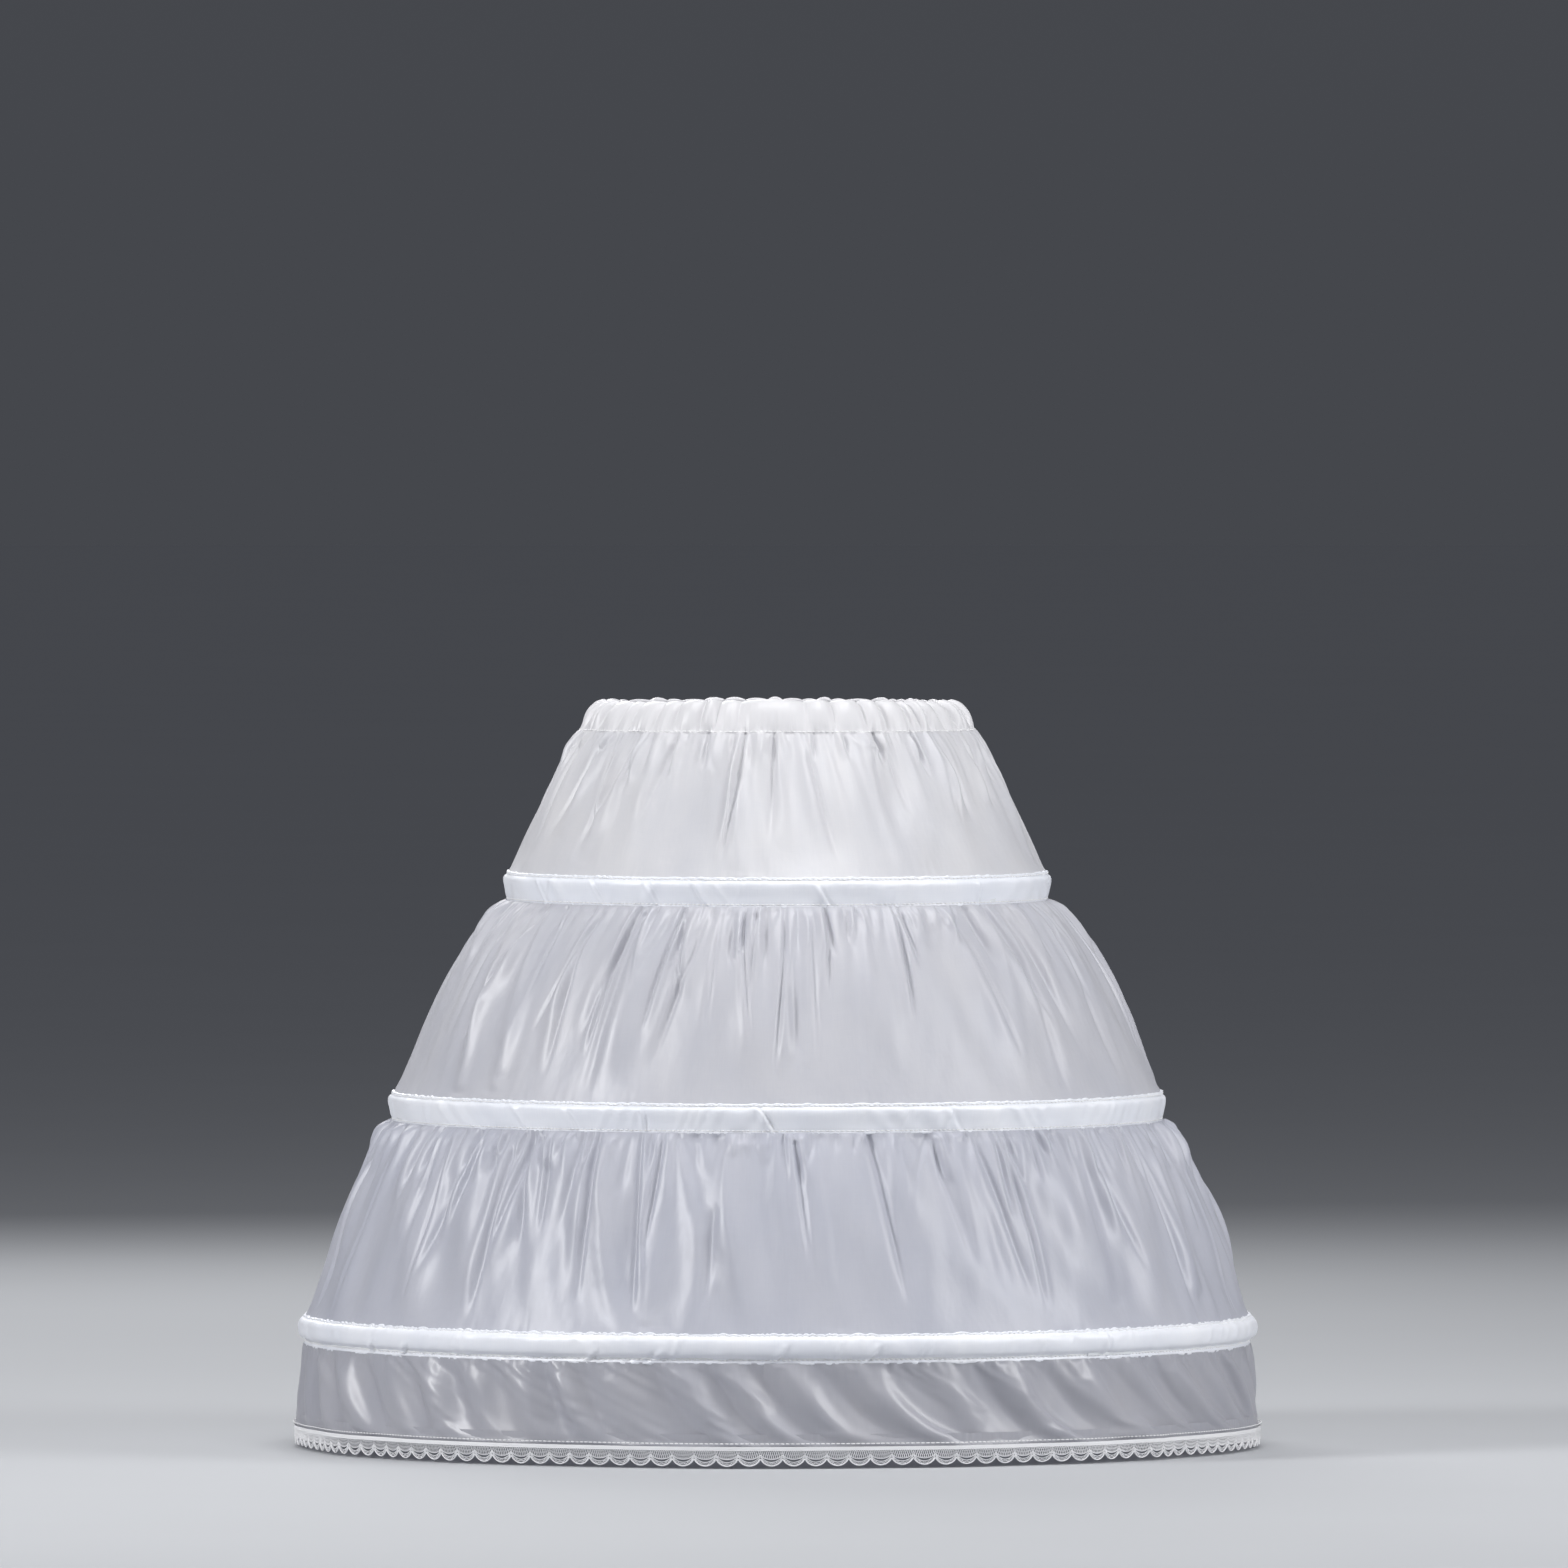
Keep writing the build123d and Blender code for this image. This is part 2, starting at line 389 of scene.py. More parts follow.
def ridges(rng, count, unevenness, lowest=0.35, fullness=2.0):
    """Folds side by side all round, of uneven widths and heights, as a function of angle: 0 in
    each crease and up to 1 on a crest. A low fullness gives round folds with narrow creases."""
    edges = added_up(rng.lognormal(0, unevenness, count))
    edges *= TURN / edges[-1]
    heights = rng.uniform(lowest, 1.0, count)

    def height(angle):
        angle = np.mod(angle, TURN)
        fold = np.clip(np.searchsorted(edges, angle, side="right") - 1, 0, count - 1)
        across = (angle - edges[fold]) / (edges[fold + 1] - edges[fold])
        return heights[fold] * np.sin(np.pi * np.clip(across, 0, 1)) ** fullness

    return height


def waver(rng, waves, size):
    """A smooth random line all round, as a function of angle."""
    strengths = rng.normal(0, size, (waves, 2)) / np.arange(1, waves + 1)[:, None]

    def height(angle):
        return sum(
            a * np.cos(n * angle) + b * np.sin(n * angle)
            for n, (a, b) in enumerate(strengths, 1))

    return height


def folds_round(length, width):
    """How many folds of a width go round a length."""
    return max(3, round(length / width))


def layered_folds(rng, girth, angle, share, layers, sway, lowest, waves, sunk=0.0):
    """How far out layers of folds stand all over a sheet. Each layer is (width, unevenness, height,
    fullness, slant, how its height changes from 0 at the top to 1 at the foot). The folds move
    sideways on their way down by their slant, by a line for each layer and by sway, and sunk of
    their height is below the sheet."""
    rise = np.zeros(np.broadcast(angle, share).shape)
    for width, unevenness, height, fullness, slant, fading in layers:
        folds = ridges(rng, folds_round(girth, width), unevenness, lowest, fullness)
        drift = waver(rng, waves, 0.05)
        rise += height * fading(share) * (
            folds(angle - slant * share + (drift(angle) + sway(angle)) * share) - sunk)
    return rise


def dying_away(reach, power=1.0, ramp=1.0, start=1.0):
    """How folds die away below their seam, as a function of the share of the way down."""
    return lambda t: np.exp(-((t / reach) ** power)) * np.minimum(1, t / ramp + start)


def half_way(middle, reach, ramp, start):
    """How broad folds come and go about the middle of a tier, as a function of the same share."""
    return lambda t: np.exp(-(((t - middle) / reach) ** 2)) * np.minimum(1, t / ramp + start)


def seam_puckers(
        rng, girth, angle, distance, width, unevenness, lowest, fullness, height, reach, sunk=0.0):
    """Fine puckers beside a seam, which die away over reach as the distance from it grows."""
    folds = ridges(rng, folds_round(girth, width), unevenness, lowest, fullness)
    return height * np.exp(-distance / reach) * (folds(angle) - sunk)


def away(angle, middle):
    """How far round an angle is from middle, from minus to plus half a turn."""
    return np.mod(angle - middle + np.pi, TURN) - np.pi


def drawn_creases(angle, share, creases):
    """Sharp creases at chosen bearings. Each is (bearing, slant, top, foot, width, height): it runs
    from share top to share foot of the way down, and moves by slant degrees as it goes. Its width
    is in degrees too. It is a ridge with a crease at its right, or at its left where the height is
    negative."""
    rise = np.zeros(np.broadcast(angle, share).shape)
    for bearing, slant, top, foot, width, height in creases:
        along = np.clip((share - top) / (foot - top), 0, 1)
        middle = math.radians(bearing - 90) + math.radians(slant) * along
        beside = away(angle, middle) / math.radians(width) * np.sign(height)
        reach = np.sin(np.pi * (0.12 + 0.88 * along)) * (share >= top) * (share <= foot)
        rise = rise + abs(height) * reach * (
            np.exp(-((beside + 0.8) ** 2)) - 1.2 * np.exp(-((2.4 * (beside - 0.5)) ** 2)))
    return rise


def loose_creases(rng, count, girth, shortest, longest):
    """Random creases all round, for drawn_creases. They run down from the gathers to a share of the
    way down from shortest to longest."""
    return [
        (rng.uniform(0, 360), rng.normal(0, 2.2 * longest), 0.0, rng.uniform(shortest, longest),
         math.degrees(rng.uniform(0.0024, 0.0075) / girth * TURN),
         rng.choice((-1, 1)) * rng.uniform(0.0008, 0.0028))
        for _ in range(count)]


def dimples(rng, angle, share, across, down, height):
    """Shallow random dents and swellings all over a sheet: across and down are how many there are
    each way at most, and height about how far they stand out."""
    dents = np.zeros(np.broadcast(angle, share).shape)
    for _ in range(40):
        round_it, along_it = rng.integers(across // 3, across), rng.uniform(-down, down)
        dents += rng.normal() * np.sin(
            round_it * angle + math.pi * along_it * share + rng.uniform(0, TURN))
    return dents * height / 6


def between(rows, places):
    """Rows of a grid at fractional places, on smooth curves through them."""
    last = len(rows) - 1
    low = np.clip(np.floor(places).astype(int), 0, last - 1)
    t = (places - low).reshape(-1, *[1] * (rows.ndim - 1))
    p0, p1, p2, p3 = (rows[np.clip(low + step, 0, last)] for step in (-1, 0, 1, 2))
    return 0.5 * (
        2 * p1 + (p2 - p0) * t + (2 * p0 - 5 * p1 + 4 * p2 - p3) * t**2
        + (3 * p1 - p0 - 3 * p2 + p3) * t**3)


def doubled_round(grid):
    """A grid with twice as many columns, on smooth curves through those it had."""
    middle = (9 * (grid + np.roll(grid, -1, 1)) - np.roll(grid, 1, 1) - np.roll(grid, -2, 1)) / 16
    return np.stack([grid, middle], 2).reshape(grid.shape[0], -1, 3)


def refined(grid, *stretches):
    """A grid with twice as many columns, and with rows at new places. Each stretch of new rows is
    (first old row, last old row, count). Also gives the rows' shares of the way down and the
    columns' angles."""
    places = np.concatenate([*(np.linspace(*rows)[:-1] for rows in stretches), stretches[-1][1:2]])
    share = (places / (len(grid) - 1))[:, None]
    grid = between(doubled_round(grid), places)
    return grid, share, angles(grid.shape[1])[None, :]


def evened(grid, finest):
    """A grid without the waves round its rows that are shorter than finest, a length for each."""
    waves = np.fft.rfft(grid, axis=1)
    girth = TURN * np.hypot(grid[..., 0], grid[..., 1]).mean(1)
    count = np.arange(waves.shape[1])[None, :]
    keep = np.exp(-((count * finest.reshape(-1, 1) / girth[:, None]) ** 2))
    return np.fft.irfft(waves * keep[..., None], grid.shape[1], axis=1)


def outward(grid, rise):
    """A grid pushed straight out from the Z axis by rise."""
    moved = grid.copy()
    radius = np.hypot(grid[..., 0], grid[..., 1])
    moved[..., :2] *= ((radius + rise) / radius)[..., None]
    return moved


def angles(columns):
    """The angle of each column."""
    return np.arange(columns) / columns * TURN


def oval(half_width, half_depth, angle, rise, level):
    """Points of an oval, let out by rise, at a level."""
    shape = np.broadcast(angle, rise, level).shape
    return np.stack([
        np.broadcast_to((half_width + rise) * np.cos(angle), shape),
        np.broadcast_to((half_depth + rise) * np.sin(angle), shape),
        np.broadcast_to(level, shape)], -1)


def new_piece(name, points, faces):
    """A smooth piece from its points and faces."""
    mesh = bpy.data.meshes.new(name)
    mesh.from_pydata(points.reshape(-1, 3).tolist(), [], faces)
    mesh.shade_smooth()
    piece = bpy.data.objects.new(name, mesh)
    bpy.context.scene.collection.objects.link(piece)
    return piece


def closed_round(rows, columns):
    """The faces of a grid whose last column meets its first."""
    number = np.arange(rows * columns).reshape(rows, columns)
    beside = np.roll(number, -1, 1)
    return np.stack([number[:-1], number[1:], beside[1:], beside[:-1]], -1)


def sheet_of(name, grid, cut, drop, opening=None):
    """A sheet of cloth from a grid. cut is its flat length, drop the flat distance of each row from
    the top, and opening a mask of the faces that are left out."""
    rows, columns = grid.shape[:2]
    faces = closed_round(rows, columns)
    left = np.broadcast_to(np.arange(columns) / columns * cut, (rows - 1, columns))
    right = left + cut / columns
    top = np.broadcast_to(np.asarray(drop)[:-1, None], left.shape)
    foot = np.broadcast_to(np.asarray(drop)[1:, None], left.shape)
    flat = np.stack([
        np.stack([left, top], -1), np.stack([left, foot], -1),
        np.stack([right, foot], -1), np.stack([right, top], -1)], 2)
    if opening is not None:
        faces, flat = faces[~opening], flat[~opening]
    piece = new_piece(name, grid, faces.reshape(-1, 4).tolist())
    layer = piece.data.uv_layers.new(name=UV_NAME)
    layer.data.foreach_set("uv", flat.reshape(-1).astype(np.float32))
    if opening is not None:
        drop_loose_points(piece)
    return piece


def only(piece):
    """Makes piece the one that is selected and active."""
    bpy.ops.object.select_all(action="DESELECT")
    piece.select_set(True)
    bpy.context.view_layer.objects.active = piece


def drop_loose_points(piece):
    """Removes the points that an opening leaves on no face."""
    only(piece)
    bpy.ops.object.mode_set(mode="EDIT")
    bpy.ops.mesh.select_all(action="SELECT")
    bpy.ops.mesh.delete_loose(use_verts=True, use_edges=True, use_faces=False)
    bpy.ops.object.mode_set(mode="OBJECT")


def settled(grid, cut, depth, frames=10):
    """The grid after it has hung a moment as cloth, sewn along its first and last rows. cut is the
    length of cloth in each row, and depth the flat distance down it."""
    rows, columns = grid.shape[:2]
    piece = new_piece("settling", grid, closed_round(rows, columns).reshape(-1, 4).tolist())
    mesh, radius, level = piece.data, cut / TURN, -np.linspace(0, depth, rows)[:, None]
    flat = oval(radius, radius, angles(columns), 0.0, level)
    piece.shape_key_add(name="Basis")
    key = piece.shape_key_add(name="flat cloth")
    key.data.foreach_set("co", flat.reshape(-1).astype(np.float32))
    key.value = 0.0
    sewn = piece.vertex_groups.new(name="sewn")
    edges = [*range(columns), *range((rows - 1) * columns, rows * columns)]
    sewn.add(edges, 1.0, "REPLACE")
    only(piece)
    bpy.ops.object.modifier_add(type="CLOTH")
    cloth = piece.modifiers[-1]
    for setting, value in {
        "quality": 6, "mass": 0.05, "air_damping": 1.0,
        "tension_stiffness": 15.0, "compression_stiffness": 15.0, "shear_stiffness": 5.0,
        "bending_stiffness": 0.0, "tension_damping": 5.0, "compression_damping": 5.0,
        "shear_damping": 5.0, "bending_damping": 0.5,
        "vertex_group_mass": "sewn", "pin_stiffness": 1.0, "rest_shape_key": key,
    }.items():
        setattr(cloth.settings, setting, value)
    cloth.collision_settings.use_collision = False
    cloth.collision_settings.use_self_collision = False
    cloth.point_cache.frame_start, cloth.point_cache.frame_end = 1, frames
    scene = bpy.context.scene
    scene.frame_start, scene.frame_end = 1, frames
    for step in range(1, frames + 1):
        scene.frame_set(step)
    held = piece.evaluated_get(bpy.context.evaluated_depsgraph_get())
    points = np.zeros(rows * columns * 3, np.float32)
    held.to_mesh().vertices.foreach_get("co", points)
    held.to_mesh_clear()
    bpy.data.objects.remove(piece)
    bpy.data.meshes.remove(mesh)
    scene.frame_set(1)
    return points.reshape(rows, columns, 3).astype(float)


def hang(piece, node, slot, finish, **cloth):
    """Puts finish on a sheet, hangs it from the root and hides the part node. slot and cloth are
    not used.
    """
    piece.data.materials.append(finish)
    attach(piece, "root")
    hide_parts(node)


TIER_SLACK = 1.015  # a tier's length down its cloth, over the straight line from top to foot
FLAT_FOOT = 0.10  # the share of a tier over which its folds flatten on to the hoop


def gathered_tier(rng, top, foot, layers, columns, rows, swell, peak, creases):
    """A tier's grid, gathered into its top seam and nearly flat at its foot, with each row's flat
    distance from the top, and the tier's girth. top and foot are (half width, half depth, level).
    It swells out by swell, most above half way down, where peak is less than 1."""
    share = np.linspace(0, 1, rows)[:, None]
    angle = angles(columns)[None, :]
    girth = TURN * (foot[0] + foot[1]) / 2
    sway = waver(rng, 8, 0.06)
    rise = layered_folds(rng, girth, angle, share, layers, sway, lowest=0.15, waves=14)
    rise *= np.clip((1 - share) / FLAT_FOOT, 0, 1) ** 0.5
    rise -= rise.mean(1, keepdims=True)
    half_width, half_depth, level = (a + (b - a) * share for a, b in zip(top, foot))
    grid = oval(half_width, half_depth, angle, rise, level)
    depth = math.hypot(foot[0] - top[0], foot[2] - top[2]) * TIER_SLACK
    taken_in = (2 * foot[0] / (half_width + half_depth) - 1) * 0.75 + 0.02
    grid = settled(grid, TURN * (half_width + half_depth) / 2 * (1 + taken_in), depth)
    finest = np.interp(share * depth, (0, 0.008, 0.030, 0.070), (0, 0.003, 0.009, 0.018))
    grid, share, angle = refined(
        evened(grid, finest), (0, 5, 13), (5, rows - 4, round(0.9 * rows)), (rows - 4, rows - 1, 8))
    fine = seam_puckers(
        rng, girth, angle, share * depth, width=0.0062, unevenness=0.35, lowest=0.35,
        fullness=1.2, height=0.0010, reach=0.007)
    fine += seam_puckers(
        rng, girth, angle, (1 - share) * depth, width=0.0075, unevenness=0.5, lowest=0.0,
        fullness=2.0, height=0.0005, reach=0.006, sunk=0.3)
    puff = swell * np.sin(np.pi * np.clip(share, 0, 1) ** peak)
    dents = dimples(rng, angle, share, round(girth / 0.040), 2.6, 0.0017) * np.sin(np.pi * share)
    creases = (
        *creases, *loose_creases(rng, folds_round(girth, 0.034), girth, 0.35, 1.0),
        *loose_creases(rng, folds_round(girth, 0.020), girth, 0.10, 0.30))
    grid = outward(grid, puff + fine + dents + drawn_creases(angle, share, creases))
    return grid, share[:, 0] * depth, girth


SLIT_ROWS = (2, 9)  # rows of the channel's inner wall that its slit takes up
WAIST_STITCHES = -3  # row of the channel, from its foot


def waist_channel(rng, skirt, stitched, waist_girth, sizes):
    """The elastic's channel as a grid that ends in the skirt's first row: up its inner wall, over
    the fold and down its ruched outer wall."""
    angle = angles(skirt.shape[1])[None, :]
    puffs = ridges(rng, folds_round(waist_girth, sizes.waist_puff), 0.45, 0.4, 0.55)(angle)
    small = ridges(rng, folds_round(waist_girth, 0.0048), 0.4, 0.2, 1.2)(angle)
    # its rows, as (out from the elastic, share of the channel's height from its top, share of a
    # puff, small puckers)
    section = between(np.array([
        (-0.0033, 1.00, 0.00, 0.3), (-0.0030, 0.80, 0.06, 0.3), (-0.0028, 0.45, 0.12, 0.2),
        (-0.0024, 0.16, 0.20, 0.3), (-0.0016, 0.02, 0.30, 0.5), (-0.0002, -0.04, 0.48, 0.6),
        (0.0008, 0.02, 0.70, 0.5), (0.0014, 0.16, 0.95, 0.3), (0.0015, 0.45, 1.00, 0.2),
        (0.0012, 0.75, 0.62, 0.3), (0.0009, 0.92, 0.22, 0.9), (WAIST_OUTSET, 1.00, 0.0, 0.0),
    ]), np.linspace(0, 11, 34))
    outset, down, puffed, puckered = (section[:, n, None] for n in range(4))
    rise = outset + puffed * puffs * sizes.waist_puff_height + puckered * small * 0.0006
    front = np.clip(-np.sin(angle), 0, 1) ** 2
    lift = puffed * ((puffs - 0.45) * 0.0046 + 0.0045 * front)
    level = stitched * down
    channel = oval(*waist_oval(level), angle, rise, level + lift)
    channel += (skirt[:1] - channel[-1:]) * np.linspace(0, 1, len(channel))[:, None, None] ** 8
    return channel


class PETTICOAT_OT_top_tier(bpy.types.Operator):
    """Makes the top tier: the elastic's channel at the waist, and the cloth that hangs from it"""

    bl_idname = "petticoat.top_tier"
    bl_label = "Top tier"

    def execute(self, context):
        sizes, shades = context.scene.petticoat_sizes, context.scene.petticoat_colours
        rng = np.random.default_rng(11)
        low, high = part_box("waist_elastic")
        stitched = low.z - WAIST_MARGIN
        waist = waist_oval(stitched, WAIST_OUTSET)
        foot_radius = hoop_line("upper")[0] + TIER_OUT
        layers = (
            (sizes.waist_puff * 1.3, 0.40, 0.0026, 1.5, 0.0, dying_away(0.12)),
            (sizes.fold, 0.50, 0.0034, 1.8, 0.0, dying_away(0.45, 1.6, 0.08, 0.2)),
            (sizes.swag * 0.7, 0.55, 0.0100, 1.5, 0.0, half_way(0.50, 0.45, 0.2, 0.1)),
        )
        creases = (
            (-10.0, -1.5, 0.0, 0.75, 1.4, 0.0022), (-43.0, -7.0, 0.0, 0.80, 2.4, -0.0026),
            (-56.0, -9.0, 0.0, 0.70, 2.4, -0.0024), (-31.0, -4.0, 0.0, 0.60, 1.8, 0.0014),
            (7.0, 6.0, 0.0, 0.90, 1.8, 0.0014), (30.0, 3.0, 0.0, 0.55, 1.8, 0.0012),
            (63.0, 4.0, 0.0, 0.50, 2.6, 0.0020),
        )
        skirt, drop, girth = gathered_tier(
            rng, (*waist, stitched), (foot_radius, foot_radius, casing_seams("upper")[0]),
            layers, columns=520, rows=40, swell=0.0048, peak=0.80, creases=creases)
        channel = waist_channel(rng, skirt, stitched, math.pi * sum(waist), sizes)
        above = added_up(steps(channel).mean(1))
        drops = np.concatenate([above[:-1], above[-1] + drop])
        grid = np.concatenate([channel[:-1], skirt])
        row = np.arange(len(grid) - 1)[:, None]
        inner = (row >= SLIT_ROWS[0]) & (row < SLIT_ROWS[1])
        behind = np.abs(away(angles(grid.shape[1])[None, :], math.pi / 2)) * high.y < SLIT / 2
        piece = sheet_of("top_tier_cloth", grid, girth, drops, inner & behind)
        SEAMS["waist"] = channel[WAIST_STITCHES]
        # The top tier's colour is the white taffeta with painted shade, darker than the casings.
        finish = taffeta("top taffeta", shades.top_taffeta_painted_shade, 0.25, doubled=float(above[-1]))
        hang(piece, "top_tier", "taffeta", finish, flat=(float(drops[-1]), girth),
             held="gathered", rests_on=["waist_elastic", "upper_hoop"])
        return {"FINISHED"}


class PETTICOAT_OT_gathered_tiers(bpy.types.Operator):
    """Makes the middle and lower tiers, each gathered into the hoop casing above it"""

    bl_idname = "petticoat.gathered_tiers"
    bl_label = "Gathered tiers"

    def execute(self, context):
        sizes, shades = context.scene.petticoat_sizes, context.scene.petticoat_colours
        layers = (
            (sizes.gather, 0.55, 0.0080, 0.55, 0.0, dying_away(0.13, 1.0, 0.022, 0.08)),
            (sizes.fold, 0.55, 0.0064, 0.9, 0.0, dying_away(0.36, 1.5, 0.05, 0.05)),
            (sizes.swag, 0.60, 0.0155, 1.4, 0.0, half_way(0.52, 0.40, 0.2, 0.02)),
        )
        # Each tier's shade is painted shade: the white taffeta, darker and bluer for the lower tier
        # than the middle.
        for name, above, seed, columns, swell, peak, shade, creases in (
            ("middle", "upper", 3, 600, 0.0135, 0.72, shades.middle_taffeta_painted_shade, (
                (-14.5, -6.5, 0.0, 0.80, 1.3, 0.0024), (9.5, -1.0, 0.0, 0.45, 0.8, 0.0020),
                (24.0, -1.0, 0.0, 0.55, 0.9, 0.0024), (-37.0, -6.0, 0.0, 0.65, 1.2, -0.0020),
                (-27.0, -2.0, 0.0, 1.0, 2.2, -0.0022), (46.0, 5.0, 0.0, 0.6, 1.3, 0.0018),
                (-3.5, -1.0, 0.0, 0.5, 0.8, -0.0016), (-55.0, -6.0, 0.0, 0.7, 1.6, -0.0020))),
            ("lower", "middle", 7, 680, 0.0088, 0.78, shades.lower_taffeta_painted_shade, (
                (-17.0, -1.0, 0.0, 0.55, 0.7, 0.0020), (-37.0, -3.0, 0.0, 0.7, 1.1, -0.0022),
                (13.0, 3.0, 0.0, 0.85, 1.0, 0.0020), (29.0, 4.0, 0.0, 0.8, 1.1, 0.0020),
                (-9.0, -1.0, 0.35, 1.0, 1.4, 0.0016), (-48.0, -4.0, 0.0, 0.8, 1.3, -0.0022),
                (2.0, 2.0, 0.0, 0.7, 0.9, 0.0018), (50.0, 4.0, 0.0, 0.7, 1.2, 0.0020))),
        ):
            top_radius = hoop_line(above)[0] + GATHERS_OUT
            foot_radius = hoop_line(name)[0] + TIER_OUT
            grid, drop, girth = gathered_tier(
                np.random.default_rng(seed), (top_radius, top_radius, casing_seams(above)[1]),
                (foot_radius, foot_radius, casing_seams(name)[0]),
                layers, columns, rows=44, swell=swell, peak=peak, creases=creases)
            piece = sheet_of(f"{name}_tier_cloth", grid, girth, drop)
            hang(piece, f"{name}_tier", "taffeta", taffeta(f"{name} taffeta", shade, 0.22),
                 flat=(float(drop[-1]), girth), held="gathered",
                 rests_on=[f"{above}_hoop", f"{name}_hoop"])
        return {"FINISHED"}


HEM_EASE, HEM_SLACK = 1.02, 1.05  # the band's cloth, over its girth and over its height
# The hem's turning, inside its edge: (in from the edge, up from it, flat distance past it)
HEM_TURNING = (
    (0.0005, -0.0004, 0.0006), (0.0010, 0.0006, 0.0018),
    (0.0013, 0.0040, 0.0052), (0.0013, 0.0080, 0.0092),
)


class PETTICOAT_OT_hem_band(bpy.types.Operator):
    """Makes the plain band of cloth below the lowest hoop, with its turned hem"""

    bl_idname = "petticoat.hem_band"
    bl_label = "Hem band"

    def execute(self, context):
        sizes, shades = context.scene.petticoat_sizes, context.scene.petticoat_colours
        rng = np.random.default_rng(23)
        low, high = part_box("hem_band")
        radius, _ = hoop_line("lower")
        top, foot = casing_seams("lower")[1], low.z
        rows, columns = 26, 700
        share = np.linspace(0, 1, rows)[:, None]
        angle = angles(columns)[None, :]
        widest = high.x - radius - 0.0005
        flare = widest * np.interp(share, (0, 0.25, 0.55, 0.85, 1), (0.08, 0.30, 0.56, 0.80, 0.77))
        girth = TURN * (radius + widest)
        cut, depth = girth * HEM_EASE, (top - foot) * HEM_SLACK
        layers = (
            (0.009, 0.45, 0.0012, 1.5, 0.02, dying_away(0.10)),
            (sizes.hem_fold, 0.28, 0.0090, 1.5, 0.17, lambda t: np.sin(np.pi * t**0.85) + 0.10),
            (sizes.hem_fold * 0.55, 0.60, 0.0018, 1.5, 0.24,
             lambda t: np.sin(np.pi * t**0.6) * (1 - 0.5 * t)),
            (sizes.hem_fold * 2.4, 0.50, 0.0040, 1.5, 0.08, lambda t: t**1.2),
        )
        sway = waver(rng, 11, 0.02)
        rise = layered_folds(
            rng, girth, angle, share, layers, sway, lowest=0.45, waves=16, sunk=0.35)
        grid = oval(radius + flare, radius + flare, angle, rise, top + (foot - top) * share)
        grid = settled(grid, np.full((rows, 1), cut), depth, 8)
        finest = np.interp(share * depth, (0, 0.006, 0.015), (0, 0.005, 0.012))
        grid, share, angle = refined(evened(grid, finest), (0, 5, 11), (5, rows - 1, 27))
        fine = seam_puckers(
            rng, girth, angle, share * depth, width=0.0058, unevenness=0.4, lowest=0.1,
            fullness=1.3, height=0.0008, reach=0.005)
        fine += seam_puckers(
            rng, girth, angle, (1 - share) * depth, width=0.0050, unevenness=0.4, lowest=0.0,
            fullness=1.3, height=0.0004, reach=0.004)
        grid = outward(grid, fine)
        edge = SEAMS["hem"] = grid[-1]
        turning = [outward(edge, -inward) + (0, 0, up) for inward, up, _ in HEM_TURNING]
        drop = np.concatenate([share[:, 0] * depth, [depth + past for _, _, past in HEM_TURNING]])
        piece = sheet_of("hem_band_cloth", np.concatenate([grid, turning]), cut, drop)
        # The hem band's colour is painted shade: the white taffeta, darker and bluer than the tiers
        # above.
        finish = taffeta("hem taffeta", shades.hem_taffeta_painted_shade, 0.12, 0.38, 0.0006)
        hang(piece, "hem_band", "taffeta", finish, flat=(float(drop[-1]), cut), held="hung",
             rests_on=["lower_hoop"])
        return {"FINISHED"}


# A casing's section, from the edge inside its lower seam, up its inner wall, over its top and down
# its outer face to the seam allowance: (out from the hoop, up from the hoop's middle, share of the
# small puckers, share of the slanting creases)
CASING_SECTION = np.array([
    (-0.0010, -0.0088, 0.5, 0.0), (-0.0022, -0.0074, 0.5, 0.0), (-0.0024, -0.0040, 0.1, 0.5),
    (-0.0024, 0.0010, 0.1, 0.5), (-0.0023, 0.0055, 0.3, 0.3), (-0.0014, 0.0082, 0.8, 0.0),
    (0.0000, 0.0092, 1.0, 0.0), (0.0013, 0.0088, 1.0, 0.1), (0.0011, 0.0077, 0.7, 0.1),
    (0.0014, 0.0069, 0.5, 0.3), (0.0024, 0.0060, 0.3, 0.6), (0.0029, 0.0046, 0.1, 0.8),
    (0.0029, 0.0028, 0.0, 0.9), (0.0026, 0.0008, 0.0, 1.0), (0.0021, -0.0014, 0.0, 1.0),
    (0.0017, -0.0036, 0.1, 0.9), (0.0014, -0.0056, 0.2, 0.6), (0.0010, -0.0072, 0.3, 0.3),
    (0.0012, -0.0082, 0.5, 0.2), (0.0012, -0.0089, 0.5, 0.1), (0.0004, -0.0094, 0.5, 0.0),
])
# Places in it, counted in its points: the slit's ends, the casing's top, and the stitches
SLIT_STARTS, SLIT_ENDS, OVER_TOP, TOP_STITCHES, FOOT_STITCHES = 1.2, 4.4, 6, 8, 17

# The lower casing is narrower on its hoop: a round roll, a hollow under it, and the seam
ROLLED_SECTION = CASING_SECTION.copy()
ROLLED_SECTION[8:21, 0] = (
    0.0010, 0.0022, 0.0038, 0.0046, 0.0049, 0.0048, 0.0042, 0.0030, 0.0009, 0.0002,
    0.0007, 0.0008, 0.0004)
ROLLED_SECTION[8:21, 1] = (
    0.0078, 0.0074, 0.0062, 0.0044, 0.0022, 0.0000, -0.0022, -0.0040, -0.0052, -0.0066,
    -0.0078, -0.0086, -0.0092)


